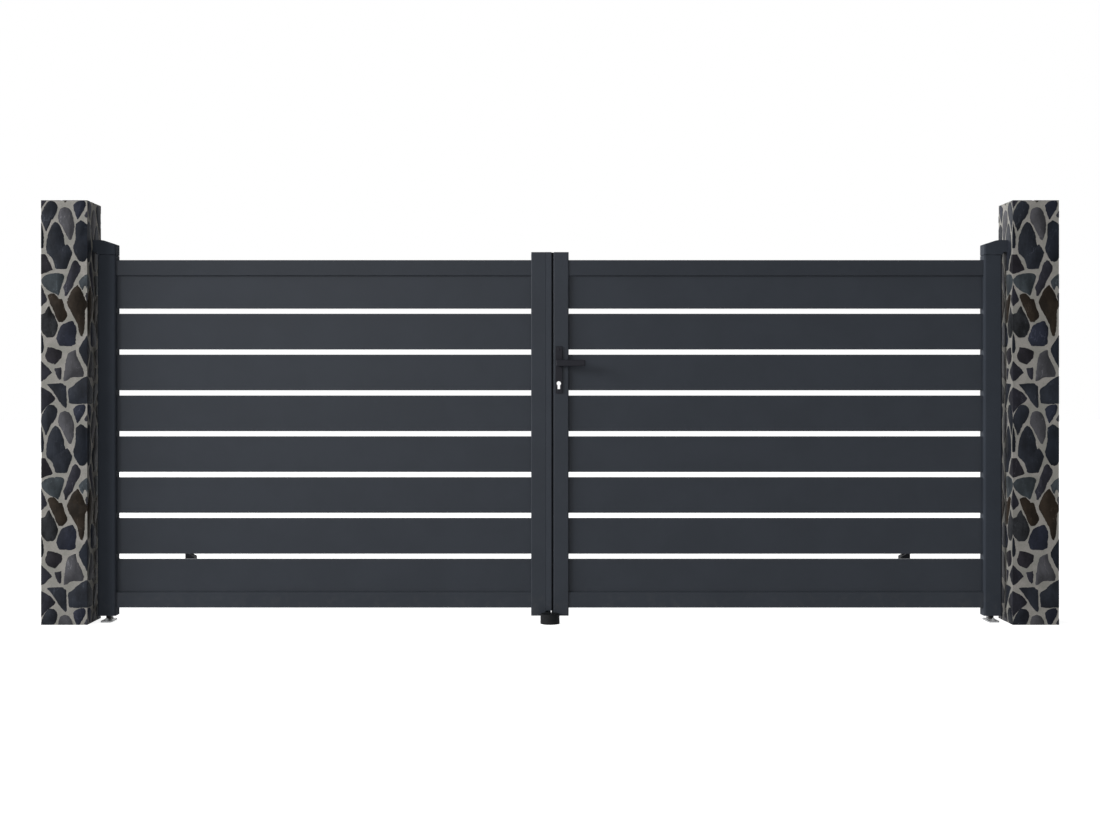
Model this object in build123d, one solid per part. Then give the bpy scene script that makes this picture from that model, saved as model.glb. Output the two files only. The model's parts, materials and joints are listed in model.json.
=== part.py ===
from build123d import *
import os

os.makedirs("parts", exist_ok=True)

# All sizes are in mm. X runs to the right, Y away from the street and Z up. The origin is the
# centre of the left pillar's foot. The left half is drawn, and the right half mirrors it.

# the two stone pillars
opening = 3500
pillar_side = 175
pillar_height = 1606
pillar_arris = 4

# where the leaves turn
hinge_offset = 53
hinge_depth = 97
pin_diameter = 16
pin_clearance = 0.05
pin_end_gap = 1.5
pin_engagement = 26

# the leaf frame
leaf_bottom = 24
hinge_stile_top = 1405
hinge_stile_width = 70
hinge_stile_depth = 60
hinge_stile_corner = 8
hinge_stile_wall = 3
meeting_stile_top = 1417
meeting_stile_width = 58.5
meeting_stile_depth = 50
meeting_stile_corner = 4
meeting_stile_wall = 2.5
meeting_gap = 27
rail_height = 60
rail_depth = 40
rail_corner = 3
rail_wall = 2.5
bottom_rail_bottom = 54
top_rail_top = 1387

# the slats between the rails
slat_count = 8
slat_pitch = 157
slat_gap = 20
slat_thickness = 20
slat_wall = 1.8
slat_corner = 1.5
first_gap_centre = 1191.6
groove_play = 0.2
groove_reach = 1

# plugs and bushes in the tube ends
plug_play = 0.2
bush_play = 0.1
bush_height = 34
cap_thickness = 4
cap_spigot = 15
edge_break = 1

# the upper hinge bracket
hood_gap = 2.2
hood_top = 1462.6
hood_low_top = 1446.5
hood_slope_length = 49.5
hood_ease = 60
hood_lip = 5
hood_room_top = 1430
upper_pin_top = 1436
hood_skirt_gap = 2
hood_arm_bottom = 1417
hood_wall = 6
hood_boss_diameter = 30
stud_diameter = 10
stud_spacing = 34
stud_in_pillar = 50
stud_in_bracket = 30

# the floor pivot
floor_plate_width = 41
floor_plate_length = 86
floor_plate_thickness = 6
floor_plate_depth = 101
floor_plate_corner = 5
floor_bolt_diameter = 9
floor_bolt_spacing = 66
floor_boss_diameter = 22
floor_boss_top_diameter = 20
floor_boss_height = 7

# the seal between the leaves
carrier_width = 20.2
carrier_lap = 2
carrier_bottom = 44
carrier_wall = 2
spine_width = 17
seal_bottom = 30
seal_clear = 0.4
seal_depth = 14
seal_corner = 2.5
seal_neck = 5

# the lock and its lever handles
lock_offset = 20.9
plate_width = 26
plate_height = 180
plate_thickness = 7
plate_bottom = 876
plate_corner = 3
keyhole_top = 922.5
keyhole_height = 33
keyhole_round = 17
keyhole_slot = 10
spindle_height = 991
spindle_side = 8
spindle_play = 0.05
lever_length = 100
lever_heel = 12
lever_height = 25
lever_thickness = 12
lever_reach = 46
lever_corner = 4.5
neck_diameter = 20
rose_diameter = 25
rose_thickness = 10
collar_diameter = 18
collar_clearance = 0.05
lever_gap = 0.3
socket_depth = 24
case_height = 150
case_width = 40
case_thickness = 18
case_below_keyhole = 20

# the stops on the ground
centre_stop_foot = 74
centre_stop_top = 72
centre_stop_height = 38
centre_stop_edge = 4
centre_stop_gap = 5
centre_stop_lip = 18
stop_bolt_diameter = 12
stop_bolt_seat = 28
stop_bolt_grip = 30
open_stop_height = 90
open_stop_low = 70
open_stop_width = 45
open_stop_crest = 8
open_stop_length = 60
open_stop_gap = 6
buffer_thickness = 20
buffer_top = 52
buffer_bottom = 12
buffer_inset = 10
buffer_corner = 5

# positions worked out from the sizes above
half_pillar = pillar_side / 2
centre_x = half_pillar + opening / 2
hinge_x = half_pillar + hinge_offset
leaf_y = hinge_depth - half_pillar
stile_inner_x = hinge_x + hinge_stile_width / 2
meeting_edge_x = centre_x - meeting_gap / 2
meeting_inner_x = meeting_edge_x - meeting_stile_width
meeting_x = (meeting_edge_x + meeting_inner_x) / 2
span_length = meeting_inner_x - stile_inner_x
top_rail_bottom = top_rail_top - rail_height
bottom_rail_top = bottom_rail_bottom + rail_height
slat_height = slat_pitch - slat_gap
top_slat_bottom = first_gap_centre + slat_gap / 2
groove_depth = top_slat_bottom + slat_height - top_rail_bottom + groove_reach
hood_bottom = hinge_stile_top + hood_gap
hood_skirt_x = hinge_x - hinge_stile_width / 2 - hood_skirt_gap
stud_z = (hood_arm_bottom + hood_top) / 2
floor_plate_y = floor_plate_depth - half_pillar
right_edge_x = centre_x + meeting_gap / 2
lock_x = right_edge_x + lock_offset
lock_face = meeting_stile_depth / 2 + plate_thickness
stop_face_x = hinge_x - meeting_stile_depth / 2 - open_stop_gap - buffer_thickness
stop_y = leaf_y + meeting_x - hinge_x


def to_right(shape):
    return mirror(shape, about=Plane(origin=(centre_x, 0, 0), z_dir=(1, 0, 0)))


def save(shape, name):
    export_step(shape, f"parts/{name}.step")


def save_pair(shape, name):
    save(shape, f"left_{name}")
    save(to_right(shape), f"right_{name}")


def block(x_low, x_high, y_low, y_high, z_low, z_high):
    middle = Pos((x_low + x_high) / 2, (y_low + y_high) / 2, (z_low + z_high) / 2)
    return middle * Box(x_high - x_low, y_high - y_low, z_high - z_low)


def post(section, x, y, z_low, z_high):
    # a section standing upright from z_low to z_high
    return extrude(Pos(x, y, z_low) * section, z_high - z_low)


def round_post(x, y, diameter, z_low, z_high):
    return post(Circle(diameter / 2), x, y, z_low, z_high)


def side_on(y):
    # a plane at depth y seen from the street, with x to the right and z up
    return Plane(origin=(0, y, 0), x_dir=(1, 0, 0), z_dir=(0, -1, 0))


def end_on(x, z):
    # a plane across the leaf, with y and z as its own two directions
    return Plane(origin=(x, leaf_y, z), x_dir=(0, 1, 0), z_dir=(1, 0, 0))


def through(shape, y_low, y_high):
    # an outline drawn in x and z, cut from y_low to y_high
    return extrude(side_on(y_high) * shape, y_high - y_low)


# the pillars and what is fixed to them

def stud(y):
    middle_x = half_pillar + (stud_in_bracket - stud_in_pillar) / 2
    bar = Cylinder(stud_diameter / 2, stud_in_pillar + stud_in_bracket)
    return Pos(middle_x, y, stud_z) * Rot(0, 90, 0) * bar


def studs():
    return Compound([stud(leaf_y - stud_spacing / 2), stud(leaf_y + stud_spacing / 2)])


def pillar():
    mass = block(-half_pillar, half_pillar, -half_pillar, half_pillar, 0, pillar_height)
    mass = fillet(mass.edges().filter_by(Axis.Z), pillar_arris)
    for hole in studs().solids():
        mass -= hole
    return mass


def hood_profile():
    shoulder = (stile_inner_x - hood_slope_length, hood_top)
    lip = (stile_inner_x, hood_low_top)
    outline = Polyline(shoulder, lip, (stile_inner_x, hood_bottom), (hood_skirt_x, hood_bottom),
                       (hood_skirt_x, hood_arm_bottom), (half_pillar, hood_arm_bottom),
                       (half_pillar, hood_top), close=True)
    face = make_face(outline)
    face = fillet(face.vertices().sort_by_distance(shoulder)[0], hood_ease)
    return fillet(face.vertices().sort_by_distance(lip)[0], hood_lip)


def hood_footprint(inset, x_low):
    # a plan outline with round corners on the leaf's side only
    half = hinge_stile_depth / 2 - inset
    x_high = stile_inner_x - inset
    plan = Pos((x_low + x_high) / 2, leaf_y) * Rectangle(x_high - x_low, 2 * half)
    corners = plan.vertices().group_by(Axis.X)[-1]
    return fillet(corners, hinge_stile_corner - inset)


def upper_bracket():
    half = hinge_stile_depth / 2
    body = through(hood_profile(), leaf_y - half, leaf_y + half)
    body &= post(hood_footprint(0, half_pillar), 0, 0, hood_bottom, hood_top)
    hollow = post(hood_footprint(hood_wall, hood_skirt_x + hood_wall), 0, 0, hood_bottom,
                  hood_room_top)
    body -= hollow - round_post(hinge_x, leaf_y, hood_boss_diameter, hood_bottom, hood_top)
    body -= round_post(hinge_x, leaf_y, pin_diameter, hood_bottom, upper_pin_top)
    for hole in studs().solids():
        body -= hole
    return body


def upper_pin():
    low = hinge_stile_top - pin_engagement
    return round_post(hinge_x, leaf_y, pin_diameter, low, upper_pin_top)


def floor_plate():
    outline = RectangleRounded(floor_plate_width, floor_plate_length, floor_plate_corner)
    plate = post(outline, hinge_x, floor_plate_y, 0, floor_plate_thickness)
    boss = Cone(floor_boss_diameter / 2, floor_boss_top_diameter / 2, floor_boss_height)
    plate += Pos(hinge_x, leaf_y, floor_plate_thickness + floor_boss_height / 2) * boss
    plate = chamfer(plate.faces().sort_by(Axis.Z)[-1].edges(), edge_break)
    plate -= round_post(hinge_x, leaf_y, pin_diameter, 0, leaf_bottom)
    for side in (-1, 1):
        y = floor_plate_y + side * floor_bolt_spacing / 2
        plate -= round_post(hinge_x, y, floor_bolt_diameter, 0, floor_plate_thickness)
    return plate


def floor_pin():
    return round_post(hinge_x, leaf_y, pin_diameter, 0, leaf_bottom + pin_engagement)


# the frame of a leaf

def tube(width, depth, corner, wall, x, z_low, z_high):
    outer = RectangleRounded(width, depth, corner)
    inner = RectangleRounded(width - 2 * wall, depth - 2 * wall, corner - wall)
    return post(outer - inner, x, leaf_y, z_low, z_high)


def hinge_stile():
    return tube(hinge_stile_width, hinge_stile_depth, hinge_stile_corner, hinge_stile_wall,
                hinge_x, leaf_bottom, hinge_stile_top)


def bush(z_low, bore_low, bore_high):
    inset = hinge_stile_wall + bush_play
    section = RectangleRounded(hinge_stile_width - 2 * inset, hinge_stile_depth - 2 * inset,
                               hinge_stile_corner - inset)
    plug = post(section, hinge_x, leaf_y, z_low, z_low + bush_height)
    bore = pin_diameter + 2 * pin_clearance
    return plug - round_post(hinge_x, leaf_y, bore, bore_low, bore_high)


def top_bush():
    bore_low = hinge_stile_top - pin_engagement - pin_end_gap
    return bush(hinge_stile_top - bush_height, bore_low, hinge_stile_top)


def bottom_bush():
    return bush(leaf_bottom, leaf_bottom, leaf_bottom + pin_engagement + pin_end_gap)


def meeting_stile():
    return tube(meeting_stile_width, meeting_stile_depth, meeting_stile_corner,
                meeting_stile_wall, meeting_x, leaf_bottom + cap_thickness,
                meeting_stile_top - cap_thickness)


def meeting_cap(outer_z, inward):
    # a plate on the tube's end with a spigot that goes into the tube
    plate = RectangleRounded(meeting_stile_width, meeting_stile_depth, meeting_stile_corner)
    cap = extrude(Pos(meeting_x, leaf_y, outer_z) * plate, inward * cap_thickness)
    rim = cap.faces().sort_by(Axis.Z)[0 if inward > 0 else -1].edges()
    cap = chamfer(rim, edge_break)
    inset = meeting_stile_wall + plug_play
    spigot = RectangleRounded(meeting_stile_width - 2 * inset, meeting_stile_depth - 2 * inset,
                              meeting_stile_corner - meeting_stile_wall)
    seat = outer_z + inward * cap_thickness
    return cap + extrude(Pos(meeting_x, leaf_y, seat) * spigot, inward * cap_spigot)


def meeting_caps():
    return Compound([meeting_cap(leaf_bottom, 1), meeting_cap(meeting_stile_top, -1)])


def rail(z_low, edge, inward):
    # a box section with a groove for the slats in the side at height edge
    outer = RectangleRounded(rail_depth, rail_height, rail_corner)
    inner = RectangleRounded(rail_depth - 2 * rail_wall, rail_height - 2 * rail_wall,
                             rail_corner - rail_wall)
    plane = end_on(stile_inner_x, z_low + rail_height / 2)
    bar = extrude(plane * (outer - inner), span_length)
    half = slat_thickness / 2 + groove_play
    floor = edge + inward * groove_depth
    behind = floor + inward * rail_wall
    lining = block(stile_inner_x, meeting_inner_x, leaf_y - half - rail_wall,
                   leaf_y + half + rail_wall, min(edge, behind), max(edge, behind))
    groove = block(stile_inner_x, meeting_inner_x, leaf_y - half, leaf_y + half,
                   min(edge, floor), max(edge, floor))
    return bar + lining - groove


def slat(z_low):
    # a flat hollow board with one web half way up
    outer = RectangleRounded(slat_thickness, slat_height, slat_corner)
    room = (slat_height - 3 * slat_wall) / 2
    cell = Rectangle(slat_thickness - 2 * slat_wall, room)
    shift = (room + slat_wall) / 2
    section = outer - Pos(0, shift) * cell - Pos(0, -shift) * cell
    return extrude(end_on(stile_inner_x, z_low + slat_height / 2) * section, span_length)


def slats():
    return Compound([slat(top_slat_bottom - row * slat_pitch) for row in range(slat_count)])


# the seal on the left leaf's meeting edge

def seal_carrier():
    high = meeting_stile_top
    outer_x = meeting_edge_x + carrier_width
    half = meeting_stile_depth / 2
    bar = block(meeting_edge_x - carrier_lap, outer_x, leaf_y - half, leaf_y + half,
                carrier_bottom, high)
    bar = fillet(bar.edges().filter_by(Axis.Z).group_by(Axis.X)[-1], carrier_wall)
    stile = RectangleRounded(meeting_stile_width, meeting_stile_depth, meeting_stile_corner)
    bar -= post(stile, meeting_x, leaf_y, carrier_bottom, high)
    room = half - carrier_wall
    bar -= block(meeting_edge_x + carrier_wall, outer_x - seal_neck - carrier_wall,
                 leaf_y - room, leaf_y + room, carrier_bottom, high - cap_thickness)
    bar -= block(outer_x - seal_neck, outer_x, leaf_y - seal_neck / 2,
                 leaf_y + seal_neck / 2, carrier_bottom, high)
    return bar + block(meeting_edge_x, meeting_edge_x + spine_width, leaf_y - seal_neck,
                       leaf_y + seal_neck, seal_bottom, carrier_bottom)


def meeting_seal():
    high = meeting_stile_top
    outer_x = meeting_edge_x + carrier_width
    half = seal_depth / 2
    nose = block(outer_x, right_edge_x - seal_clear, leaf_y - half, leaf_y + half,
                 seal_bottom, high)
    nose = fillet(nose.edges().filter_by(Axis.Z).group_by(Axis.X)[-1], seal_corner)
    return nose + block(outer_x - seal_neck, outer_x, leaf_y - seal_neck / 2,
                        leaf_y + seal_neck / 2, carrier_bottom, high)


# the lock in the right leaf's meeting stile

def keyhole():
    round_z = keyhole_top - keyhole_round / 2
    slot_z = keyhole_top - keyhole_height + keyhole_slot / 2
    outline = Pos(lock_x, round_z) * Circle(keyhole_round / 2)
    outline += Pos(lock_x, slot_z) * Circle(keyhole_slot / 2)
    outline += Pos(lock_x, (round_z + slot_z) / 2) * Rectangle(keyhole_slot, round_z - slot_z)
    return through(outline, leaf_y - lock_face, leaf_y + lock_face)


def spindle_hole(diameter):
    outline = Pos(lock_x, spindle_height) * Circle(diameter / 2)
    return through(outline, leaf_y - lock_face, leaf_y + lock_face)


def collar_bore():
    return spindle_hole(collar_diameter + 2 * collar_clearance)


def lock_case():
    inner_x = right_edge_x + meeting_stile_wall
    low = keyhole_top - keyhole_height - case_below_keyhole
    half = case_thickness / 2
    case = block(inner_x, inner_x + case_width, leaf_y - half, leaf_y + half, low,
                 low + case_height)
    case = fillet(case.edges().filter_by(Axis.Y), carrier_wall)
    return case - keyhole() - collar_bore()


def lock_plate(side):
    face = leaf_y + side * meeting_stile_depth / 2
    outer = leaf_y + side * lock_face
    plate = block(lock_x - plate_width / 2, lock_x + plate_width / 2, min(face, outer),
                  max(face, outer), plate_bottom, plate_bottom + plate_height)
    plate = fillet(plate.edges().filter_by(Axis.Y), plate_corner)
    rim = plate.faces().sort_by(Axis.Y)[0 if side < 0 else -1].edges()
    return chamfer(rim, edge_break) - keyhole() - collar_bore()


def lever(side):
    # a flat bar on a round neck that comes out from the rose
    face = leaf_y + side * (lock_face + lever_gap)
    outer = face + side * lever_reach
    inner = outer - side * lever_thickness
    bar = block(lock_x - lever_heel, lock_x + lever_length, min(inner, outer), max(inner, outer),
                spindle_height - lever_height / 2, spindle_height + lever_height / 2)
    grip = fillet(bar.edges(), lever_corner)
    grip += spindle_drum(neck_diameter, face, inner + side * lever_corner)
    grip += spindle_drum(rose_diameter, face, face + side * rose_thickness)
    grip += spindle_drum(collar_diameter, face, face - side * plate_thickness)
    half = spindle_side / 2 + spindle_play
    deep = face + side * socket_depth
    back = face - side * plate_thickness
    return grip - block(lock_x - half, lock_x + half, min(back, deep), max(back, deep),
                        spindle_height - half, spindle_height + half)


def spindle_drum(diameter, y_start, y_end):
    outline = Pos(lock_x, spindle_height) * Circle(diameter / 2)
    return through(outline, min(y_start, y_end), max(y_start, y_end))


def spindle():
    reach = lock_face + lever_gap + socket_depth - edge_break
    return Pos(lock_x, leaf_y, spindle_height) * Box(spindle_side, 2 * reach, spindle_side)


# the stops that stand on the ground

def centre_stop():
    y = centre_stop_foot / 2 - half_pillar
    body = Cone(centre_stop_foot / 2, centre_stop_top / 2, centre_stop_height)
    body = fillet(body.faces().sort_by(Axis.Z)[-1].edges(), centre_stop_edge)
    body = Pos(centre_x, y, centre_stop_height / 2) * body
    back = leaf_y - meeting_stile_depth / 2 - centre_stop_gap
    body -= block(centre_x - centre_stop_foot, centre_x + centre_stop_foot, back,
                  back + centre_stop_foot, centre_stop_lip, centre_stop_height)
    return body - round_post(centre_x, y, stop_bolt_diameter, 0, centre_stop_height)


def open_stop():
    back = stop_face_x - open_stop_width
    outline = Polyline((stop_face_x, 0), (stop_face_x, open_stop_low),
                       (back + open_stop_crest, open_stop_height), (back, open_stop_height),
                       (back, 0), close=True)
    half = open_stop_length / 2
    wedge = through(make_face(outline), stop_y - half, stop_y + half)
    hole_x = back + open_stop_width / 2
    wedge -= round_post(hole_x, stop_y, stop_bolt_seat, stop_bolt_grip, open_stop_height)
    return wedge - round_post(hole_x, stop_y, stop_bolt_diameter, 0, stop_bolt_grip)


def open_buffer():
    half = open_stop_length / 2 - buffer_inset
    pad = block(stop_face_x, stop_face_x + buffer_thickness, stop_y - half, stop_y + half,
                buffer_bottom, buffer_top)
    return fillet(pad.faces().sort_by(Axis.X)[-1].edges(), buffer_corner)


save_pair(pillar(), "pillar")
save_pair(studs(), "bracket_studs")
save_pair(upper_bracket(), "upper_bracket")
save_pair(upper_pin(), "upper_pin")
save_pair(floor_plate(), "floor_plate")
save_pair(floor_pin(), "floor_pin")
save_pair(hinge_stile(), "hinge_stile")
save_pair(top_bush(), "top_bush")
save_pair(bottom_bush(), "bottom_bush")
save_pair(meeting_caps(), "meeting_caps")
save_pair(rail(bottom_rail_bottom, bottom_rail_top, -1), "bottom_rail")
save_pair(rail(top_rail_bottom, top_rail_bottom, 1), "top_rail")
save_pair(slats(), "slats")
save_pair(open_stop(), "open_stop")
save_pair(open_buffer(), "open_buffer")
save(meeting_stile(), "left_meeting_stile")
save(to_right(meeting_stile()) - keyhole() - collar_bore(), "right_meeting_stile")
save(seal_carrier(), "seal_carrier")
save(meeting_seal(), "meeting_seal")
save(lock_case(), "lock_case")
save(lock_plate(-1), "street_lock_plate")
save(lock_plate(1), "yard_lock_plate")
save(lever(-1), "street_lever")
save(lever(1), "yard_lever")
save(spindle(), "spindle")
save(centre_stop(), "centre_stop")
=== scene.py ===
import bpy, bmesh, json, math, random
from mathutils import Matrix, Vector, noise


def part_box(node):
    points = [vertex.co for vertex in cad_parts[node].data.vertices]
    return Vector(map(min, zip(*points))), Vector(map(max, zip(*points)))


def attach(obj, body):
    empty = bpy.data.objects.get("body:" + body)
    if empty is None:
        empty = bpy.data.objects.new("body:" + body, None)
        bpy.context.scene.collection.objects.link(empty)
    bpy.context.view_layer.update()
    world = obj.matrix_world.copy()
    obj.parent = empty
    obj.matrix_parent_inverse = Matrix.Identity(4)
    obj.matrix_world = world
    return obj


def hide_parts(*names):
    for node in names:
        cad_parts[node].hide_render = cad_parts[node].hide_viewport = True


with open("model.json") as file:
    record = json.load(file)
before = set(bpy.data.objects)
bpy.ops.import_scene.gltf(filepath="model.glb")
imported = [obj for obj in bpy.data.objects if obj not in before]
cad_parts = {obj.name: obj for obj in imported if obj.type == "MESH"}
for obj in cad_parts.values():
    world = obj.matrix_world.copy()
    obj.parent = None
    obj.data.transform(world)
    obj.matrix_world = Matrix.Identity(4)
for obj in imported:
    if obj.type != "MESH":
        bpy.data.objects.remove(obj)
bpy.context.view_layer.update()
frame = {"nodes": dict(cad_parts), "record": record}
random.seed(41)
print("frame loaded:", len(frame["nodes"]), "nodes")


class Wire:  # a node's output that can stand in a sum
    def __init__(self, finish, node, out=0):
        self.finish = finish
        self.node = node
        self.socket = node.outputs[out]

    def out(self, name):  # another output of the same node
        return Wire(self.finish, self.node, name)

    def maths(self, operation, first, second):
        return self.finish.node("ShaderNodeMath", {"operation": operation}, {0: first, 1: second})

    def __add__(self, other): return self.maths("ADD", self, other)
    def __radd__(self, other): return self.maths("ADD", other, self)
    def __sub__(self, other): return self.maths("SUBTRACT", self, other)
    def __rsub__(self, other): return self.maths("SUBTRACT", other, self)
    def __mul__(self, other): return self.maths("MULTIPLY", self, other)
    def __rmul__(self, other): return self.maths("MULTIPLY", other, self)
    def __or__(self, other): return self.maths("MAXIMUM", self, other)
    def __ror__(self, other): return self.maths("MAXIMUM", other, self)


class Finish:  # one material, or the world, and the nodes in it
    def __init__(self, name, fixed=None, owner=None):
        self.material = owner or bpy.data.materials.new(name)
        self.material.use_nodes = True
        self.tree = self.material.node_tree
        self.shader = self.tree.nodes["Background" if owner else "Principled BSDF"]
        for socketName, value in (fixed or {}).items():
            self.plug(self.shader.inputs[socketName], value)

    def node(self, kind, settings=None, sockets=None, out=0):
        made = self.tree.nodes.new(kind)
        for key, value in (settings or {}).items():
            setattr(made, key, value)
        for key, value in (sockets or {}).items():
            self.plug(made.inputs[key], value)
        return Wire(self, made, out)

    def plug(self, socket, value):
        if isinstance(value, Wire):
            self.tree.links.new(value.socket, socket)
        elif socket.type == "RGBA" and len(value) == 3:
            socket.default_value = (*value, 1)
        else:
            socket.default_value = value

    def drive(self, socketName, value):
        self.plug(self.shader.inputs[socketName], value)

    def place(self, stretch=(1, 1, 1)):
        spot = self.node("ShaderNodeTexCoord").out("Object")
        return self.node("ShaderNodeMapping", None, {"Vector": spot, "Scale": stretch})

    # patches about size metres across, from 0 to 1
    def cloud(self, size, detail=4, rough=0.55, stretch=(1, 1, 1)):
        return self.node("ShaderNodeTexNoise", None, {"Vector": self.place(stretch), "Scale": 1 / size,
                                                      "Detail": detail, "Roughness": rough})

    def ramp(self, value, low, high):  # 0 below low, 1 above high
        return self.node("ShaderNodeMapRange", {"interpolation_type": "SMOOTHSTEP"},
                         {"Value": value, "From Min": low, "From Max": high})

    def tint(self, mask, first, second):  # first where the mask is 0, second where it is 1
        return self.node("ShaderNodeMix", {"data_type": "RGBA"}, {0: mask, 6: first, 7: second}, 2)

    def bump(self, height, depth, strength):
        self.drive("Normal", self.node("ShaderNodeBump", None, {"Strength": strength, "Distance": depth,
                                                               "Height": height}))

    def height(self):  # metres above the ground
        spot = self.node("ShaderNodeTexCoord").out("Object")
        return self.node("ShaderNodeSeparateXYZ", None, {"Vector": spot}).out("Z")

    def seenDirectly(self):  # 1 for the camera, in a gloss and through glass, 0 for the light
        ray = self.node("ShaderNodeLightPath")
        return ray.out("Is Camera Ray") | ray.out("Is Glossy Ray") | ray.out("Is Transmission Ray")


def newObject(name, bm, body, materials, sharp=35):
    bmesh.ops.recalc_face_normals(bm, faces=bm.faces)
    mesh = bpy.data.meshes.new(name)
    bm.to_mesh(mesh)
    bm.free()
    made = bpy.data.objects.new(name, mesh)
    bpy.context.scene.collection.objects.link(made)
    for finish in materials:
        mesh.materials.append(finish.material)
    mesh.polygons.foreach_set("use_smooth", [True] * len(mesh.polygons))
    mesh.set_sharp_from_angle(angle=math.radians(sharp))
    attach(made, body)
    return made


def bridge(bm, lower, upper, kind=0):  # a band of faces between two rings
    for i in range(len(lower)):
        j = (i + 1) % len(lower)
        bm.faces.new((lower[i], lower[j], upper[j], upper[i])).material_index = kind


def stack(bm, rings, closed=True):  # bands through the rings, capped at both ends or at the last one
    for lower, upper in zip(rings, rings[1:]):
        bridge(bm, lower, upper)
    bm.faces.new(rings[-1])
    if closed:
        bm.faces.new(list(reversed(rings[0])))


def middle(nodeName):
    low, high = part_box(nodeName)
    return (low + high) / 2, low, high


# powder coat on the aluminium: tone, gloss, and the dust that settles low down
coat = {"colour": (0.027, 0.0315, 0.0395), "roughness": 0.42, "specular": 0.13, "swing": 0.04,
        "glossSwing": 0.06, "patch": 0.18, "fine": 0.004, "peel": 0.0016, "grain": 0.0001,
        "dust": (0.15, 0.14, 0.125), "dustPatch": 0.03, "dustLow": 0.02, "dustTop": 0.16,
        "dustMost": 0.13, "dustRough": 0.8, "shadedRough": 0.75, "shadedSpecular": 0.05}


def makeCoat(name, colour, roughness, specular, dusty=True):
    finish = Finish(name, {"Specular IOR Level": specular})
    patch = finish.cloud(coat["patch"], 3)
    fine = finish.cloud(coat["fine"], 2)
    body = finish.tint(finish.ramp(patch, 0.35, 0.65), [c * (1 - coat["swing"]) for c in colour],
                       [c * (1 + coat["swing"]) for c in colour])
    gloss = roughness + (patch - 0.5) * coat["glossSwing"]
    if dusty:
        low = 1 - finish.ramp(finish.height(), coat["dustLow"], coat["dustTop"])
        dust = low * finish.ramp(finish.cloud(coat["dustPatch"], 6, 0.65), 0.45, 0.8) * coat["dustMost"]
        body = finish.tint(dust, body, coat["dust"])
        gloss = gloss + dust * coat["dustRough"]
    finish.drive("Base Color", body)
    finish.drive("Roughness", gloss)
    finish.bump(finish.cloud(coat["peel"], 2) * 0.7 + fine * 0.3, coat["grain"], 0.35)
    return finish


# the leaf's powder coat made lighter or darker by a share; the copies below use it for painted light and
# painted shade
def coatWithPaintedLight(share):
    return [c * share for c in coat["colour"]]


leafCoat = makeCoat("leafCoat", coat["colour"], coat["roughness"], coat["specular"])
# the hinge stiles' and hoods' coat is the leaf's powder coat made lighter: painted light against the shade
# the pillars cast on them
stileCoatLiftedAgainstShade = makeCoat("stileCoatLiftedAgainstShade", coatWithPaintedLight(1.22), coat["shadedRough"], coat["shadedSpecular"])
hoodCoatLiftedAgainstShade = makeCoat("hoodCoatLiftedAgainstShade", coatWithPaintedLight(1.22), coat["shadedRough"], coat["shadedSpecular"])
# the top rail's coat is the leaf's powder coat made darker: painted shade on the top rail
railCoatPaintedShade = makeCoat("railCoatPaintedShade", coatWithPaintedLight(0.88), coat["roughness"], coat["specular"])
# the seal carrier's coat is the leaf's powder coat made lighter: a painted highlight on the carrier's face
stripCoatPaintedHighlight = makeCoat("stripCoatPaintedHighlight", coatWithPaintedLight(1.14), coat["roughness"], coat["specular"])
lockCoat = makeCoat("lockCoat", (0.0115, 0.012, 0.0162), coat["roughness"], 0.12, False)

# plain materials: dark tone, light tone, patch size, roughness and its swing, specular,
# grain size and depth
plain = {
    "rubber": ((0.0055, 0.006, 0.007), (0.011, 0.0115, 0.0125), 0.02, 0.66, 0.2, 0.1, 0.0012, 0.0002),
    "sealRubber": ((0.019, 0.021, 0.026), (0.027, 0.03, 0.0365), 0.02, 0.6, 0.2, 0.1, 0.0012, 0.0002),
    "castBlack": ((0.0035, 0.0045, 0.006), (0.007, 0.0082, 0.0105), 0.012, 0.65, 0.1, 0.1, 0.0025, 0.0004),
    "plastic": ((0.012, 0.013, 0.015), (0.022, 0.023, 0.026), 0.01, 0.45, 0.2, 0.16, 0.0008, 0.0001),
}


def makePlain(name):
    dark, light, patchSize, roughness, swing, specular, grain, depth = plain[name]
    finish = Finish(name, {"Specular IOR Level": specular})
    patch = finish.cloud(patchSize, 5)
    finish.drive("Base Color", finish.tint(finish.ramp(patch, 0.3, 0.7), dark, light))
    finish.drive("Roughness", roughness + (patch - 0.5) * swing)
    finish.bump(finish.cloud(grain, 3), depth, 0.5)
    return finish


rubber, sealRubber, castBlack, plastic = (makePlain(name) for name in plain)

# galvanised steel; on the pivot it turns black from just above the floor plate upwards
zincLook = {"dark": (0.2, 0.205, 0.21), "light": (0.33, 0.335, 0.34), "metallic": 0.6, "spangles": 160.0,
            "blackTop": (0.012, 0.0125, 0.0135), "blackTopFrom": 0.0062, "blackTopOver": 0.0006}


def makeZinc(name, blackTop=False):
    finish = Finish(name, {"Metallic": zincLook["metallic"]})
    cells = finish.node("ShaderNodeTexVoronoi", None,
                        {"Vector": finish.place(), "Scale": zincLook["spangles"]})
    spangle = finish.node("ShaderNodeSeparateXYZ", None, {"Vector": cells.out("Color")})
    body = finish.tint(spangle, zincLook["dark"], zincLook["light"])
    # from just above the floor plate upwards the colour turns black
    if blackTop:
        start = zincLook["blackTopFrom"]
        above = finish.ramp(finish.height(), start, start + zincLook["blackTopOver"])
        body = finish.tint(above, body, zincLook["blackTop"])
    finish.drive("Base Color", body)
    finish.drive("Roughness", 0.34 + spangle * 0.2)
    finish.bump(finish.cloud(0.003, 3), 0.0002, 0.3)
    return finish


zinc = makeZinc("zinc")
pivotSteel = makeZinc("pivotSteel", True)

joint = {"grey": (0.235, 0.232, 0.212), "warm": (0.3, 0.286, 0.268), "pit": (0.15, 0.145, 0.13),
         "pitMost": 0.55, "patch": 0.05, "grain": 0.0022, "lump": 0.012, "relief": 0.0016}


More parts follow.
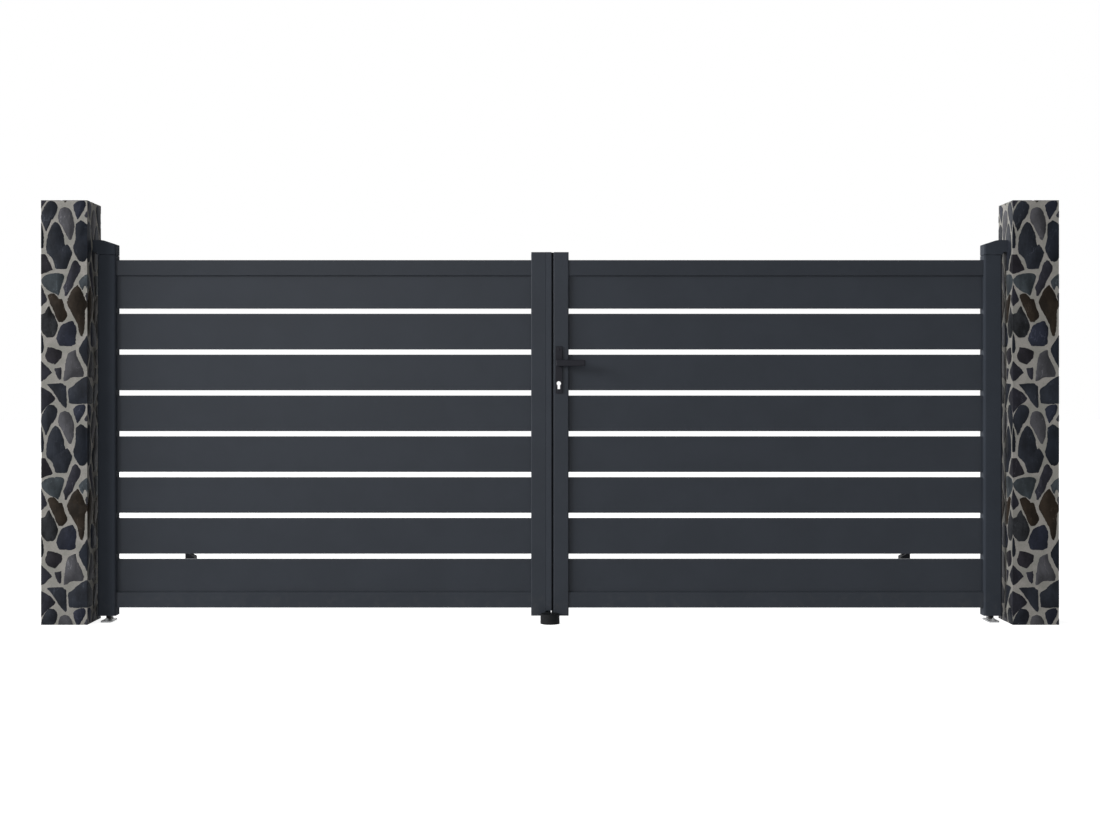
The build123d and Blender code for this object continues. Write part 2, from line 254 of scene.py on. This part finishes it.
def makeMortarFinish():
    finish = Finish("mortar", {"Specular IOR Level": 0.15})
    patch = finish.cloud(joint["patch"], 4)
    grain = finish.cloud(joint["grain"], 5, 0.7)
    body = finish.tint(finish.ramp(patch, 0.35, 0.65), joint["grey"], joint["warm"])
    pitted = finish.ramp(grain, 0.3, 0.75) * joint["pitMost"]
    finish.drive("Base Color", finish.tint(pitted, body, joint["pit"]))
    finish.drive("Roughness", 0.86 + patch * 0.1)
    finish.bump(grain * 0.6 + finish.cloud(joint["lump"], 4) * 0.4, joint["relief"], 0.8)
    return finish


mortar = makeMortarFinish()

stoneKinds = {  # tone, how far it goes lighter and darker, how rough the split face is
    "slate": ((0.0122, 0.0143, 0.0194), 0.4, 0.8),
    "dusk": ((0.0165, 0.0166, 0.0225), 0.42, 0.8),
    "navy": ((0.0125, 0.0145, 0.0232), 0.36, 0.7),
    "night": ((0.0062, 0.008, 0.0122), 0.4, 0.7),
    "plum": ((0.0125, 0.0115, 0.0148), 0.42, 0.9),
    "teal": ((0.0285, 0.0345, 0.0395), 0.34, 0.8),
    "dove": ((0.05, 0.0498, 0.0555), 0.26, 0.7),
    "earth": ((0.0135, 0.0097, 0.0068), 0.5, 1.0),
    "coal": ((0.0135, 0.0145, 0.0165), 0.75, 2.2),
}

# sizes in metres, and the thin pale veins
stoneGrain = {"streak": 0.045, "patch": 0.07, "vein": 0.03, "grit": 0.006, "sheen": 0.01, "relief": 0.004,
              "veinAt": 0.505, "veinHalf": 0.01, "veinMost": 0.75, "paleTimes": 2.8, "palePlus": 0.016}


def makeStone(name, tone, swing, relief):
    finish = Finish(name, {"Specular IOR Level": 0.08})
    streak = finish.cloud(stoneGrain["streak"], 6, 0.6, (1.0, 1.0, 0.35))
    patch = finish.cloud(stoneGrain["patch"], 3)
    vein = finish.cloud(stoneGrain["vein"], 4, 0.5, (1.0, 1.0, 0.3))
    grit = finish.cloud(stoneGrain["grit"], 6, 0.6)
    at, half = stoneGrain["veinAt"], stoneGrain["veinHalf"]
    edge = finish.ramp(vein, at - half, at) * (1 - finish.ramp(vein, at, at + half))
    body = finish.tint(finish.ramp(streak * 0.5 + patch * 0.35 + grit * 0.15, 0.38, 0.6),
                       [c * (1 - swing) for c in tone], [c * (1 + swing) for c in tone])
    pale = [c * stoneGrain["paleTimes"] + stoneGrain["palePlus"] for c in tone]
    veined = edge * finish.ramp(patch, 0.48, 0.62) * stoneGrain["veinMost"]
    finish.drive("Base Color", finish.tint(veined, body, pale))
    finish.drive("Roughness", 0.5 + finish.cloud(stoneGrain["sheen"], 5) * 0.3)
    finish.bump(streak * 0.55 + grit * 0.25 + vein * 0.2, stoneGrain["relief"] * relief, 0.6)
    return finish


stoneFinishes = [makeStone(kind + "Stone", *tones) for kind, tones in stoneKinds.items()]
print("finishes made:", len(bpy.data.materials))


# The pillars' stones are drawn in mm on one face: across from its left edge, down from the top.
# They come again every 771 mm, and turn over at each corner so that they run on round it.
pillarLook = {"side": 175, "height": 1606, "again": 771, "corner": 0.1, "chip": 0.7, "step": 6,
              "joint": 1.0, "shoulder": 0.6, "root": 0.2, "grow": 0.9, "soft": 0.8, "borderSoft": 0.25,
              "mortarRise": 0.4, "mortarStep": 8, "mortarWaves": ((0.045, 0.15), (0.14, 0.1)),
              "touch": 0.01}
topOnly = [
    ("dusk", [(0, 0), (20, 0), (11, 14), (0, 31)]),
    ("earth", [(84, 0), (97, 0), (95, 5), (90, 8)]),
]
stones = [
    ("slate", [(23, 10), (31, 3), (49, 5), (60, 17), (62, 29), (58, 47), (49, 63), (44, 71), (38, 74),
               (28, 99), (19, 119), (15, 108), (6, 84), (0, 67), (3, 47), (12, 26)]),
    ("dove", [(73, 33), (90, 26), (106, 32), (116, 47), (122, 67), (125, 87), (124, 116), (118, 137),
              (113, 150), (106, 149), (96, 131), (87, 113), (79, 96), (68, 81), (65, 67), (67, 49)]),
    ("navy", [(122, 19), (131, 9), (145, 3), (163, 1), (169, 12), (166, 26), (157, 44), (145, 63),
              (138, 73), (131, 55), (125, 38)]),
    ("dusk", [(175, 40), (170, 47), (164, 58), (168, 64), (175, 66)]),
    ("night", [(150, 76), (160, 81), (175, 92), (175, 217), (166, 230), (157, 233), (145, 230),
               (134, 212), (125, 195), (122, 180), (127, 163), (132, 140), (131, 116), (132, 90),
               (140, 84)]),
    ("slate", [(54, 82), (64, 87), (73, 100), (79, 116), (86, 134), (87, 154), (92, 172), (99, 167),
               (109, 180), (118, 198), (112, 218), (102, 244), (97, 259), (79, 260), (60, 260),
               (54, 256), (51, 241), (44, 221), (32, 208), (23, 201), (20, 186), (21, 163), (26, 131),
               (35, 108), (45, 90)]),
    ("night", [(0, 87), (6, 108), (9, 128), (10, 157), (8, 180), (0, 182)]),
    ("plum", [(0, 205), (16, 205), (26, 224), (38, 247), (44, 263), (29, 269), (12, 275), (0, 279)]),
    ("teal", [(1, 300), (15, 285), (38, 278), (67, 276), (81, 279), (88, 288), (83, 308), (76, 329),
              (70, 349), (65, 361), (55, 353), (41, 348), (26, 339), (12, 326), (3, 311)]),
    ("dusk", [(129, 227), (137, 231), (150, 250), (148, 268), (137, 288), (127, 305), (119, 329),
              (109, 340), (96, 362), (90, 361), (89, 343), (84, 329), (95, 308), (103, 279), (111, 259),
              (119, 236)]),
    ("teal", [(175, 279), (166, 284), (154, 294), (143, 308), (148, 326), (157, 340), (163, 323),
              (170, 324), (175, 335)]),
    ("dusk", [(175, 352), (171, 350), (168, 362), (172, 378), (175, 385)]),
    ("dusk", [(0, 321), (7, 337), (16, 358), (23, 375), (20, 384), (12, 390), (3, 400), (0, 400)]),
    ("earth", [(26, 359), (38, 353), (49, 353), (60, 364), (67, 374), (79, 374), (85, 392), (89, 409),
               (98, 428), (99, 438), (92, 450), (82, 460), (67, 460), (57, 443), (50, 421), (38, 398),
               (30, 375)]),
    ("earth", [(138, 320), (146, 332), (157, 349), (166, 375), (175, 387), (175, 402), (166, 415),
               (165, 438), (165, 467), (162, 496), (156, 515), (149, 511), (143, 493), (140, 470),
               (128, 447), (117, 427), (105, 406), (98, 386), (105, 367), (116, 343), (125, 332)]),
    ("coal", [(31, 400), (38, 418), (48, 432), (57, 453), (64, 473), (61, 491), (54, 508), (45, 518),
              (22, 519), (9, 505), (0, 491), (0, 432), (15, 427), (22, 412)]),
    ("navy", [(79, 472), (96, 464), (114, 457), (121, 458), (133, 482), (134, 502), (130, 520),
              (131, 543), (114, 552), (85, 550), (70, 550), (63, 537), (58, 523), (63, 505), (69, 491),
              (74, 479)]),
    ("night", [(0, 502), (6, 517), (9, 543), (10, 560), (6, 575), (0, 579)]),
    ("plum", [(25, 556), (47, 559), (67, 566), (79, 572), (77, 595), (69, 603), (61, 613), (53, 621),
              (41, 617), (25, 610), (18, 598), (16, 587), (22, 572)]),
    ("dove", [(102, 581), (114, 573), (131, 566), (133, 581), (134, 589), (144, 610), (154, 630),
              (162, 653), (159, 667), (140, 669), (125, 668), (111, 671), (99, 681), (86, 684),
              (88, 656), (92, 627), (95, 604)]),
    ("night", [(175, 511), (169, 520), (154, 543), (144, 560), (144, 572), (152, 589), (160, 607),
               (169, 621), (175, 633)]),
    ("dusk", [(51, 636), (66, 635), (76, 632), (77, 653), (76, 674), (71, 679), (63, 671), (56, 656)]),
    ("dusk", [(0, 608), (12, 621), (29, 636), (41, 652), (29, 662), (15, 677), (0, 685)]),
    ("dusk", [(0, 707), (18, 717), (35, 726), (54, 749), (50, 758), (35, 769), (24, 777), (13, 789),
              (0, 806)]),
    ("slate", [(22, 696), (47, 694), (82, 693), (86, 699), (95, 703), (96, 744), (97, 780), (93, 786),
               (79, 773), (67, 758), (58, 741), (40, 715)]),
    ("slate", [(175, 665), (154, 675), (137, 688), (122, 703), (105, 713), (102, 723), (104, 741),
               (106, 767), (125, 770), (175, 769)]),
]
headStones = [
    ("slate", [(0, 0), (61, 0), (74, 22), (58, 55), (20, 62), (0, 48)]),
    ("teal", [(70, 0), (128, 0), (121, 38), (88, 30), (81, 19)]),
    ("night", [(137, 0), (175, 0), (175, 74), (149, 68), (130, 42)]),
    ("earth", [(0, 57), (22, 71), (61, 63), (66, 101), (38, 122), (0, 112)]),
    ("slate", [(82, 37), (122, 48), (143, 75), (127, 118), (84, 124), (74, 100), (69, 62)]),
    ("coal", [(175, 84), (152, 78), (136, 117), (175, 128)]),
    ("dove", [(0, 122), (39, 131), (70, 111), (84, 133), (72, 175), (0, 175)]),
    ("night", [(93, 133), (133, 126), (175, 137), (175, 175), (81, 175)]),
]


def cutBelow(points, limit):
    # keeps the part of an outline that lies above the ground line
    kept = []
    for (u0, v0), (u1, v1) in zip(points, points[1:] + points[:1]):
        if v0 <= limit:
            kept.append((u0, v0))
        if (v0 <= limit) != (v1 <= limit):
            share = (limit - v0) / (v1 - v0)
            kept.append((u0 + share * (u1 - u0), limit))
    return kept


def chipped(points, borders):
    # cuts each free corner a little, then walks the outline in short steps with chips off it
    cut = []
    corner = pillarLook["corner"]
    count = len(points)
    for i, here in enumerate(points):
        if onBorder(here, borders):
            cut.append(here)
            continue
        for other in (points[i - 1], points[(i + 1) % count]):
            cut.append((here[0] + corner * (other[0] - here[0]), here[1] + corner * (other[1] - here[1])))
    made = []
    for i, here in enumerate(cut):
        there = cut[(i + 1) % len(cut)]
        made.append(here)
        span = math.hypot(there[0] - here[0], there[1] - here[1])
        parts = max(1, round(span / pillarLook["step"]))
        along = onBorder(here, borders) and onBorder(there, borders)
        for part in range(1, parts):
            share = part / parts
            chip = 0 if along else random.gauss(0, pillarLook["chip"]) / span
            made.append((here[0] + share * (there[0] - here[0]) - chip * (there[1] - here[1]),
                         here[1] + share * (there[1] - here[1]) + chip * (there[0] - here[0])))
    return made


def meets(a, b):
    return abs(a - b) < pillarLook["touch"]


def onBorder(point, borders):
    low, high, top, bottom = borders
    return meets(point[0], low) or meets(point[0], high) or meets(point[1], top) or meets(point[1], bottom)


def shrink(points, amount, borders, borderShare):
    # moves the outline inwards, and its points on the face's border by a share of that
    area = sum(a[0] * b[1] - b[0] * a[1] for a, b in zip(points, points[1:] + points[:1]))
    turn = 1 if area > 0 else -1
    made = []
    count = len(points)
    for i, here in enumerate(points):
        before, after = Vector(points[i - 1]), Vector(points[(i + 1) % count])
        spot = Vector(here)
        first = (spot - before).normalized()
        second = (after - spot).normalized()
        inward = Vector((-(first.y + second.y), first.x + second.x)) * turn
        if inward.length < 1e-6:
            inward = Vector((-first.y, first.x)) * turn
        inward.normalize()
        share = borderShare if onBorder(here, borders) else 1
        made.append(tuple(spot + inward * amount * share))
    return made


def mitre(points, depth, borders):
    # draws the points on the border back, so that faces meet at 45 degrees round a corner
    low, high, top = borders[:3]
    made = []
    for u, v in points:
        if meets(u, low):
            u = low + depth
        if meets(u, high):
            u = high - depth
        if meets(v, top):
            v = top + depth
        made.append((u, v))
    return made


def layStone(bm, kindIndex, outline, place, borders):
    # rings from the joint up to the flat face; place turns (across, down, depth) into a point
    outline = chipped(outline, borders)
    low, high, top, bottom = borders
    grow = pillarLook["grow"]
    levels = [(pillarLook["joint"], -pillarLook["root"] - grow, 0), (pillarLook["shoulder"], -grow, 0),
              (0, pillarLook["soft"] - grow, pillarLook["borderSoft"])]
    rings = []
    for depth, inset, share in levels:
        ring = shrink(outline, inset, borders, share)
        ring = mitre([(min(max(u, low), high), min(max(v, top), bottom)) for u, v in ring], depth, borders)
        rings.append([bm.verts.new(place(u, v, depth)) for u, v in ring])
    for lower, upper in zip(rings, rings[1:]):
        bridge(bm, lower, upper, kindIndex)
    bm.faces.new(rings[-1]).material_index = kindIndex


def facePlace(centreX, turn):  # turn is 0 for the street face, 1 the right, 2 the yard, 3 the left
    half = pillarLook["side"] / 2
    height = pillarLook["height"]

    def place(u, v, depth):
        across, out = u - half, half - depth
        x, y = [(across, -out), (out, across), (-across, out), (-out, -across)][turn]
        return Vector((centreX + x / 1000, y / 1000, (height - v) / 1000))
    return place


def headPlace(centreX):  # the same for the pillar's top
    half = pillarLook["side"] / 2
    height = pillarLook["height"]

    def place(u, v, depth):
        return Vector((centreX + (u - half) / 1000, (half - v) / 1000, (height - depth) / 1000))
    return place


def makeMortar(sideName, centreX):  # the core, its face just under the stones' and a little uneven
    give = pillarLook["mortarRise"] - pillarLook["joint"]
    half = pillarLook["side"] / 2 + give
    height = pillarLook["height"] + give
    across = round(2 * half / pillarLook["mortarStep"])
    rows = round(height / pillarLook["mortarStep"])
    outline = []
    for turn in range(4):
        for i in range(across):
            u = -half + 2 * half * i / across
            outline.append([(u, -half), (half, u), (-u, half), (-half, -u)][turn])
    bm = bmesh.new()
    levels = []
    for row in range(rows + 1):
        z = height * row / rows
        level = []
        for x, y in outline:
            spot = Vector((x, y, z))
            worked = sum(rise * noise.noise(spot * often) for often, rise in pillarLook["mortarWaves"])
            spot += Vector((x, y, 0)).normalized() * worked
            level.append(bm.verts.new(spot / 1000 + Vector((centreX, 0, 0))))
        levels.append(level)
    stack(bm, levels)
    made = newObject(sideName + "PillarMortar", bm, "posts", [mortar], 50)
    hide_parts(sideName + "_pillar")


def makePillarStones(sideName, centreX):
    kinds = list(stoneKinds)
    side, height, again = pillarLook["side"], pillarLook["height"], pillarLook["again"]
    bm = bmesh.new()
    for turn in range(4):
        place = facePlace(centreX, turn)
        for course in range(math.ceil(height / again)):
            for kind, outline in (topOnly if course == 0 else []) + stones:
                moved = [((side - u) if turn % 2 else u, v + course * again) for u, v in outline]
                moved = cutBelow(moved, height)
                if len(moved) > 2:
                    layStone(bm, kinds.index(kind), moved, place, (0, side, 0, height))
    for kind, outline in headStones:
        layStone(bm, kinds.index(kind), outline, headPlace(centreX), (0, side, 0, side))
    return newObject(sideName + "PillarStones", bm, "posts", stoneFinishes, 40)


for sideName in ("left", "right"):
    centreX = middle(sideName + "_pillar")[0].x
    makeMortar(sideName, centreX)
    pillarStones = makePillarStones(sideName, centreX)
print("pillars laid:", len(pillarStones.data.polygons), "faces of stone each")


# the finish of each carried-over piece; a name stands for the left and the right one
pieceFinish = {
    "upper_bracket": hoodCoatLiftedAgainstShade, "upper_pin": zinc, "bracket_studs": zinc, "floor_plate": pivotSteel,
    "floor_pin": pivotSteel, "hinge_stile": stileCoatLiftedAgainstShade, "top_bush": plastic, "bottom_bush": plastic,
    "meeting_stile": leafCoat, "meeting_caps": leafCoat, "bottom_rail": leafCoat, "top_rail": railCoatPaintedShade,
    "slats": leafCoat, "open_stop": castBlack, "open_buffer": rubber, "seal_carrier": stripCoatPaintedHighlight,
    "meeting_seal": sealRubber, "centre_stop": rubber, "lock_case": zinc, "spindle": zinc,
    "street_lock_plate": lockCoat, "yard_lock_plate": lockCoat,
    "street_lever": lockCoat, "yard_lever": lockCoat,
}
for nodeName, nodeObject in frame["nodes"].items():
    finish = pieceFinish.get(nodeName) or pieceFinish.get(nodeName.split("_", 1)[1])
    if finish:
        for materialSlot in nodeObject.material_slots:
            materialSlot.material = finish.material
print("carried-over pieces finished")


# screws, bolts and sleeves, in mm
fixings = {"screwRadius": 4.6, "screwRise": 0.9, "screwDome": ((1, 0), (0.86, 0.6), (0.5, 1)),
           "socket": 1.9, "socketTaper": 0.1, "socketDepth": 0.6, "plateScrewInset": 12, "padScrews": 20,
           "washerThick": 1.6, "washerEdge": 0.3, "boltHead": 5.6, "headEdge": (0.9, 0.7),
           "studRadius": 4, "studRise": 3.2, "studEdge": (0.7, 0.6),
           "plateBoltApart": 66, "plateTop": 6, "plateBolt": (13, 8.5), "anchorBolt": (15, 12),
           "anchorSeat": 30, "sunkBolt": (10, 5.9), "sunk": 12,
           "sleeveRadius": 9.6, "sleeveLow": 13.2, "sleeveHigh": 23.6, "sleeveRibs": 3,
           "ribDepth": 0.8, "ribBand": (0.3, 0.7),
           "washerInner": 9, "washerOuter": 29.2, "washerTall": 1.8}


def spotOn(origin, out):  # gives points by (sideways, up, outwards) in mm on a face that looks along out
    out = Vector(out)
    up = Vector((0, 1, 0)) if abs(out.z) > 0.5 else Vector((0, 0, 1))
    sideways = up.cross(out)
    return lambda a, b, h: Vector(origin) + (sideways * a + up * b + out * h) / 1000


def ringAt(bm, spot, radius, height, sides=24, hexagon=False):
    made = []
    for i in range(sides):
        turn = 2 * math.pi * i / sides
        reach = radius
        if hexagon:
            reach = radius * math.cos(math.pi / 6) / math.cos(turn % (math.pi / 3) - math.pi / 6)
        made.append(bm.verts.new(spot(reach * math.cos(turn), reach * math.sin(turn), height)))
    return made


def lathe(bm, spot, profile, sides):  # profile is a list of (radius, height)
    stack(bm, [ringAt(bm, spot, radius, height, sides) for radius, height in profile])


def addBolt(bm, origin, size):  # size is across the head's flats, and the washer's radius
    across, washer = size
    spot = spotOn(origin, (0, 0, 1))
    thick, edge = fixings["washerThick"], fixings["washerEdge"]
    lathe(bm, spot, [(washer, 0), (washer, thick - edge), (washer - edge, thick)], 32)
    top = thick + fixings["boltHead"]
    reach = across / 2 / math.cos(math.pi / 6)
    inset, drop = fixings["headEdge"]
    lathe(bm, spot, [(reach, thick), (reach, top - drop), (reach - inset, top)], 6)
    stud, rise = fixings["studRadius"], fixings["studRise"]
    inset, drop = fixings["studEdge"]
    lathe(bm, spot, [(stud, top), (stud, top + rise - drop), (stud - inset, top + rise)], 20)


def addScrew(bm, origin, out):  # a raised countersunk head with a hexagon socket
    spot = spotOn(origin, out)
    rim, rise, socket = fixings["screwRadius"], fixings["screwRise"], fixings["socket"]
    rings = [ringAt(bm, spot, rim * share, rise * level) for share, level in fixings["screwDome"]]
    rings.append(ringAt(bm, spot, socket, rise, 24, True))
    rings.append(ringAt(bm, spot, socket - fixings["socketTaper"], -fixings["socketDepth"], 24, True))
    stack(bm, rings, False)


def addPlateFixings(sideName):
    centre = middle(sideName + "_floor_plate")[0]
    bm = bmesh.new()
    for side in (-0.5, 0.5):
        y = centre.y + side * fixings["plateBoltApart"] / 1000
        addBolt(bm, (centre.x, y, fixings["plateTop"] / 1000), fixings["plateBolt"])
    newObject(sideName + "PlateBolts", bm, "posts", [zinc])
    pin = middle(sideName + "_floor_pin")[0]
    bottom, top, radius = fixings["sleeveLow"], fixings["sleeveHigh"], fixings["sleeveRadius"]
    groove = radius - fixings["ribDepth"]
    bandLow, bandHigh = fixings["ribBand"]
    tall = (top - bottom) / fixings["sleeveRibs"]
    profile = []
    for rib in range(fixings["sleeveRibs"]):
        start = bottom + (top - bottom) * rib / fixings["sleeveRibs"]
        profile += [(groove, start), (radius, start + tall * bandLow), (radius, start + tall * bandHigh)]
    bm = bmesh.new()
    lathe(bm, spotOn((pin.x, pin.y, 0), (0, 0, 1)), profile + [(groove, top)], 32)
    newObject(sideName + "PinSleeve", bm, "posts", [plastic])


def mountPlace(mountName):
    return next(mount["pos_m"] for mount in frame["record"]["mounts"] if mount["name"] == mountName)


def addStopFixings(sideName):
    bm = bmesh.new()
    x, y = mountPlace(sideName + "_open_stop_anchor")[:2]
    addBolt(bm, (x, y, fixings["anchorSeat"] / 1000), fixings["anchorBolt"])
    pad, low, high = middle(sideName + "_open_buffer")
    inward = 1 if sideName == "left" else -1
    face = high.x if inward > 0 else low.x
    for side in (-1, 1):
        addScrew(bm, (face, pad.y + side * fixings["padScrews"] / 2000, pad.z), (inward, 0, 0))
    newObject(sideName + "StopBolts", bm, "posts", [zinc])


def addPlateScrews(nodeName, side):
    centre, low, high = middle(nodeName)
    face = low.y if side < 0 else high.y
    inset = fixings["plateScrewInset"] / 1000
    bm = bmesh.new()
    for z in (low.z + inset, high.z - inset):
        addScrew(bm, (centre.x, face, z), (0, side, 0))
    newObject(nodeName + "_screws", bm, "right_leaf", [lockCoat])


def addWasher(sideName):  # fills the running gap between the stile and its bracket
    pin = middle(sideName + "_upper_pin")[0]
    low = middle(sideName + "_hinge_stile")[2].z * 1000
    inner, outer = fixings["washerInner"], fixings["washerOuter"]
    top = low + fixings["washerTall"]
    bm = bmesh.new()
    spot = spotOn((pin.x, pin.y, 0), (0, 0, 1))
    corners = [(outer, low), (outer, top), (inner, top), (inner, low)]
    rings = [ringAt(bm, spot, radius, height, 48) for radius, height in corners]
    for lower, upper in zip(rings, rings[1:] + rings[:1]):
        bridge(bm, lower, upper)
    newObject(sideName + "TopWasher", bm, sideName + "_leaf", [stileCoatLiftedAgainstShade])


def addCentreStopBolt():
    x, y = mountPlace("centre_stop_anchor")[:2]
    seat = middle("centre_stop")[2].z - fixings["sunk"] / 1000
    bm = bmesh.new()
    addBolt(bm, (x, y, seat), fixings["sunkBolt"])
    newObject("centreStopBolt", bm, "posts", [zinc])


for sideName in ("left", "right"):
    addPlateFixings(sideName)
    addStopFixings(sideName)
    addWasher(sideName)
addCentreStopBolt()
addPlateScrews("street_lock_plate", -1)
addPlateScrews("yard_lock_plate", 1)
print("fixings added")


# the thin lip that closes the seal against the other leaf, in mm from the seal's nose
lipLook = {"rows": 48, "section": [(-1.6, -1.1), (-0.2, -0.7), (0.3, -0.4), (0.38, 0),
                                   (0.3, 0.4), (-0.2, 0.7), (-1.6, 1.1)]}


def addSealLip():
    centre, low, high = middle("meeting_seal")
    bm = bmesh.new()
    levels = []
    for row in range(lipLook["rows"] + 1):
        z = low.z + (high.z - low.z) * row / lipLook["rows"]
        levels.append([bm.verts.new((high.x + x / 1000, centre.y + y / 1000, z))
                       for x, y in lipLook["section"]])
    stack(bm, levels)
    newObject("sealLip", bm, "left_leaf", [sealRubber])


addSealLip()
print("seal lip added")


# the camera stands a little left of the gate's middle, square to it
view = {"place": (1.7995, -5.6725, 0.8655), "lens": 48.34, "sensor": 36, "shiftRight": 0.0091,
        "shiftDown": 0.0145, "reach": 200}

camera = bpy.data.objects.new("camera", bpy.data.cameras.new("camera"))
bpy.context.scene.collection.objects.link(camera)
camera.location = view["place"]
camera.rotation_euler = (math.radians(90), 0, 0)
camera.data.lens = view["lens"]
camera.data.sensor_width = view["sensor"]
camera.data.shift_x = view["shiftRight"]
camera.data.shift_y = -view["shiftDown"]
camera.data.clip_end = view["reach"]
bpy.context.scene.camera = camera

# floor and backdrop, both white to the camera
backdrop = {"ambient": 0.2, "floorColour": 0.8, "floorGlow": 0.84, "floorHalf": 45}


def makeFloor():
    pale = backdrop["floorColour"]
    finish = Finish("paleFloor", {"Base Color": (pale, pale, pale), "Roughness": 0.9,
                                  "Specular IOR Level": 0.1, "Emission Strength": backdrop["floorGlow"]})
    finish.drive("Emission Color", finish.tint(finish.seenDirectly(), (0, 0, 0), (1, 1, 1)))
    mesh = bpy.data.meshes.new("floor")
    half = backdrop["floorHalf"]
    corners = [(-half, -half, 0), (half, -half, 0), (half, half, 0), (-half, half, 0)]
    mesh.from_pydata(corners, [], [(0, 1, 2, 3)])
    mesh.materials.append(finish.material)
    floor = bpy.data.objects.new("floor", mesh)
    bpy.context.scene.collection.objects.link(floor)


def makeWorld():
    world = bpy.data.worlds.new("studio")
    bpy.context.scene.world = world
    air = Finish("studio", {"Color": (1, 1, 1), "Strength": backdrop["ambient"]}, world)
    shown = air.node("ShaderNodeBackground", None, {"Color": (1, 1, 1), "Strength": 1.0})
    mix = air.node("ShaderNodeMixShader", None, {0: air.seenDirectly(), 2: shown})
    air.tree.links.new(air.shader.outputs[0], mix.node.inputs[1])
    air.plug(air.tree.nodes["World Output"].inputs[0], mix)


makeFloor()
makeWorld()

# place, size and power of each soft lamp; the key makes the light come from the left
lamps = {
    "key": ((-17.0, -9.8, 6.6), (15.0, 6.2), 5150),
    "front": ((0.2, -5.6, 1.8), (2.2, 1.8), 48),
    "yard": ((-10.0, 16.0, 6.0), (6.0, 5.0), 2700),
}
gateMiddle = Vector((1.84, 0, 0.8))
for lampName, (place, size, power) in lamps.items():
    lamp = bpy.data.lights.new(lampName, "AREA")
    lamp.shape = "RECTANGLE"
    lamp.size, lamp.size_y = size
    lamp.energy = power
    lampObject = bpy.data.objects.new(lampName, lamp)
    bpy.context.scene.collection.objects.link(lampObject)
    lampObject.location = place
    lampObject.rotation_euler = (gateMiddle - Vector(place)).to_track_quat("-Z", "Y").to_euler()
bpy.context.scene.view_settings.view_transform = "Standard"
print("camera, floor and light set")
